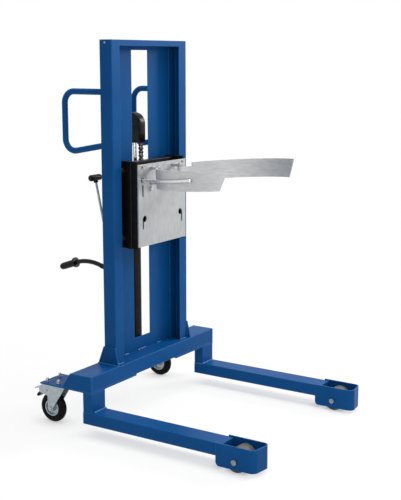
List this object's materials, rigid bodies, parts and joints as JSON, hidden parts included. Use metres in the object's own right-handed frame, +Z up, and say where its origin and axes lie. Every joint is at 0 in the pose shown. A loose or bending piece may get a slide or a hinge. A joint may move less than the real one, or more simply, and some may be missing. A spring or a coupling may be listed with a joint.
{
  "type": "drum lifter",
  "caption": "Hand-pumped hydraulic drum lifter: straddle base on rollers and casters, channel mast, chain-lifted carriage and curved clamp arms.",
  "frame": {"origin": "on the floor, under the middle of the overall box", "axes": "+Z up; -Y the way the legs and clamp point; X across the mast"},
  "size_m": [0.934, 1.2973, 1.575],
  "materials": {
    "blue_paint": "satin powder coat",
    "zinc": "mottled zinc",
    "black_paint": "satin black",
    "black_plastic": "moulded",
    "chain_steel": "oiled black",
    "chrome": "polished",
    "bolt_steel": "zinc plated",
    "dark_steel": "machined",
    "roller_nylon": "cast nylon",
    "tyre_rubber": "moulded rubber"
  },
  "bodies": {
    "chassis": {"base_beam": "blue_paint", "caster_brackets": "blue_paint", "end_plates": "blue_paint", "leg_posts": "blue_paint", "straddle_legs": "blue_paint", "roller_housings": "blue_paint", "roller_axles": "bolt_steel", "caster_caps": "zinc", "caster_bolts": "bolt_steel", "mast_rails": "blue_paint", "rear_panel": "blue_paint", "top_bar": "blue_paint", "top_bolts": "bolt_steel", "foot_gussets": "blue_paint", "push_handles": "blue_paint", "barrel": "black_paint", "gland": "bolt_steel", "pump_shelf": "blue_paint", "pump_tank": "black_paint", "pressure_pipe": "bolt_steel", "chain_anchor": "black_paint", "chain_rear": "chain_steel"},
    "ram": {"piston_rod": "chrome", "yoke": "black_paint", "sheave_pin": "bolt_steel", "sheave_cover": "black_plastic", "chain_wrap": "chain_steel", "chain_front": "chain_steel"},
    "sheave": {"sheave": "dark_steel"},
    "carriage": {"side_plates": "black_paint", "cross_bars": "black_paint", "chain_lug": "black_paint", "roller_stubs": "dark_steel", "clamp_plate": "zinc", "plate_bolts": "bolt_steel", "hinge_lugs": "zinc", "hinge_pins": "bolt_steel"},
    "guides_top": {"guide_rollers_top": "dark_steel"},
    "guides_low": {"guide_rollers_low": "dark_steel"},
    "clamp_left": {"arm_left": "zinc", "tie_rod_left": "zinc"},
    "clamp_right": {"arm_right": "zinc", "tie_rod_right": "zinc"},
    "plunger": {"plunger": "chrome"},
    "lever": {"pump_lever": "black_paint", "lever_grip": "black_plastic"},
    "release": {"release_rod": "chrome", "release_knob": "black_plastic"},
    "roller_left": {"front_roller_left": "roller_nylon"},
    "roller_right": {"front_roller_right": "roller_nylon"},
    "caster_left": {"fork_left": "zinc"},
    "caster_right": {"fork_right": "zinc"},
    "wheel_left": {"rim_left": "zinc", "tyre_left": "tyre_rubber"},
    "wheel_right": {"rim_right": "zinc", "tyre_right": "tyre_rubber"},
    "brake_left": {"pedal_left": "black_plastic"},
    "brake_right": {"pedal_right": "black_plastic"}
  },
  "joints": [
    {"name": "ram_lift", "type": "slide", "parent": "chassis", "child": "ram", "axis": [0, 0, 1], "range_m": [-0.1, 0.22], "deforming": ["chain_rear"]},
    {"name": "carriage_lift", "type": "slide", "parent": "ram", "child": "carriage", "axis": [0, 0, 1], "range_m": [-0.1, 0.22], "deforming": ["chain_front"]},
    {"name": "sheave_turn", "type": "hinge", "parent": "ram", "child": "sheave", "pos_m": [0, 0.2265, 1.23], "axis": [1, 0, 0], "range_deg": [-360, 170]},
    {"name": "guides_top_turn", "type": "hinge", "parent": "carriage", "child": "guides_top", "pos_m": [0, 0.1665, 1.048], "axis": [1, 0, 0], "range_deg": [-480, 1040]},
    {"name": "guides_low_turn", "type": "hinge", "parent": "carriage", "child": "guides_low", "pos_m": [0, 0.1665, 0.768], "axis": [1, 0, 0], "range_deg": [-1040, 480]},
    {"name": "arm_left_swing", "type": "hinge", "parent": "carriage", "child": "clamp_left", "pos_m": [-0.07762, 0.04363, 1.026], "axis": [0, 0, -1], "range_deg": [-1, 6]},
    {"name": "arm_right_swing", "type": "hinge", "parent": "carriage", "child": "clamp_right", "pos_m": [0.07762, 0.04363, 1.026], "axis": [0, 0, 1], "range_deg": [-1, 6]},
    {"name": "lever_swing", "type": "hinge", "parent": "chassis", "child": "lever", "pos_m": [0, 0.3115, 0.56], "axis": [1, 0, 0], "range_deg": [-25, 30]},
    {"name": "plunger_slide", "type": "slide", "parent": "chassis", "child": "plunger", "axis": [0, 0, 1], "range_m": [-0.0145, 0.0175]},
    {"name": "release_turn", "type": "hinge", "parent": "chassis", "child": "release", "pos_m": [-0.045, 0.2805, 0.43], "axis": [0, 0.2147, 0.9767], "range_deg": [0, 90]},
    {"name": "roller_left_roll", "type": "hinge", "parent": "chassis", "child": "roller_left", "pos_m": [-0.409, -0.5535, 0.045], "axis": [1, 0, 0], "continuous": true},
    {"name": "caster_left_swivel", "type": "hinge", "parent": "chassis", "child": "caster_left", "pos_m": [-0.385, 0.3415, 0.17], "axis": [0, 0, 1], "continuous": true},
    {"name": "wheel_left_roll", "type": "hinge", "parent": "caster_left", "child": "wheel_left", "pos_m": [-0.385, 0.3745, 0.0625], "axis": [1, 0, 0], "continuous": true},
    {"name": "brake_left_tip", "type": "hinge", "parent": "caster_left", "child": "brake_left", "pos_m": [-0.385, 0.4215, 0.132], "axis": [1, 0, 0], "range_deg": [-10, 5]},
    {"name": "roller_right_roll", "type": "hinge", "parent": "chassis", "child": "roller_right", "pos_m": [0.409, -0.5535, 0.045], "axis": [1, 0, 0], "continuous": true},
    {"name": "caster_right_swivel", "type": "hinge", "parent": "chassis", "child": "caster_right", "pos_m": [0.385, 0.3415, 0.17], "axis": [0, 0, 1], "continuous": true},
    {"name": "wheel_right_roll", "type": "hinge", "parent": "caster_right", "child": "wheel_right", "pos_m": [0.385, 0.3745, 0.0625], "axis": [1, 0, 0], "continuous": true},
    {"name": "brake_right_tip", "type": "hinge", "parent": "caster_right", "child": "brake_right", "pos_m": [0.385, 0.4215, 0.132], "axis": [1, 0, 0], "range_deg": [-10, 5]}
  ],
  "couplings": [
    {"joint": "carriage_lift", "follows": "ram_lift", "ratio": 1},
    {"joint": "sheave_turn", "follows": "ram_lift", "rad_per_m": -28.271},
    {"joint": "guides_top_turn", "follows": "ram_lift", "rad_per_m": 81.633},
    {"joint": "guides_low_turn", "follows": "ram_lift", "rad_per_m": -81.633},
    {"joint": "arm_right_swing", "follows": "arm_left_swing", "ratio": 1},
    {"joint": "plunger_slide", "follows": "lever_swing", "m_per_rad": 0.031}
  ]
}
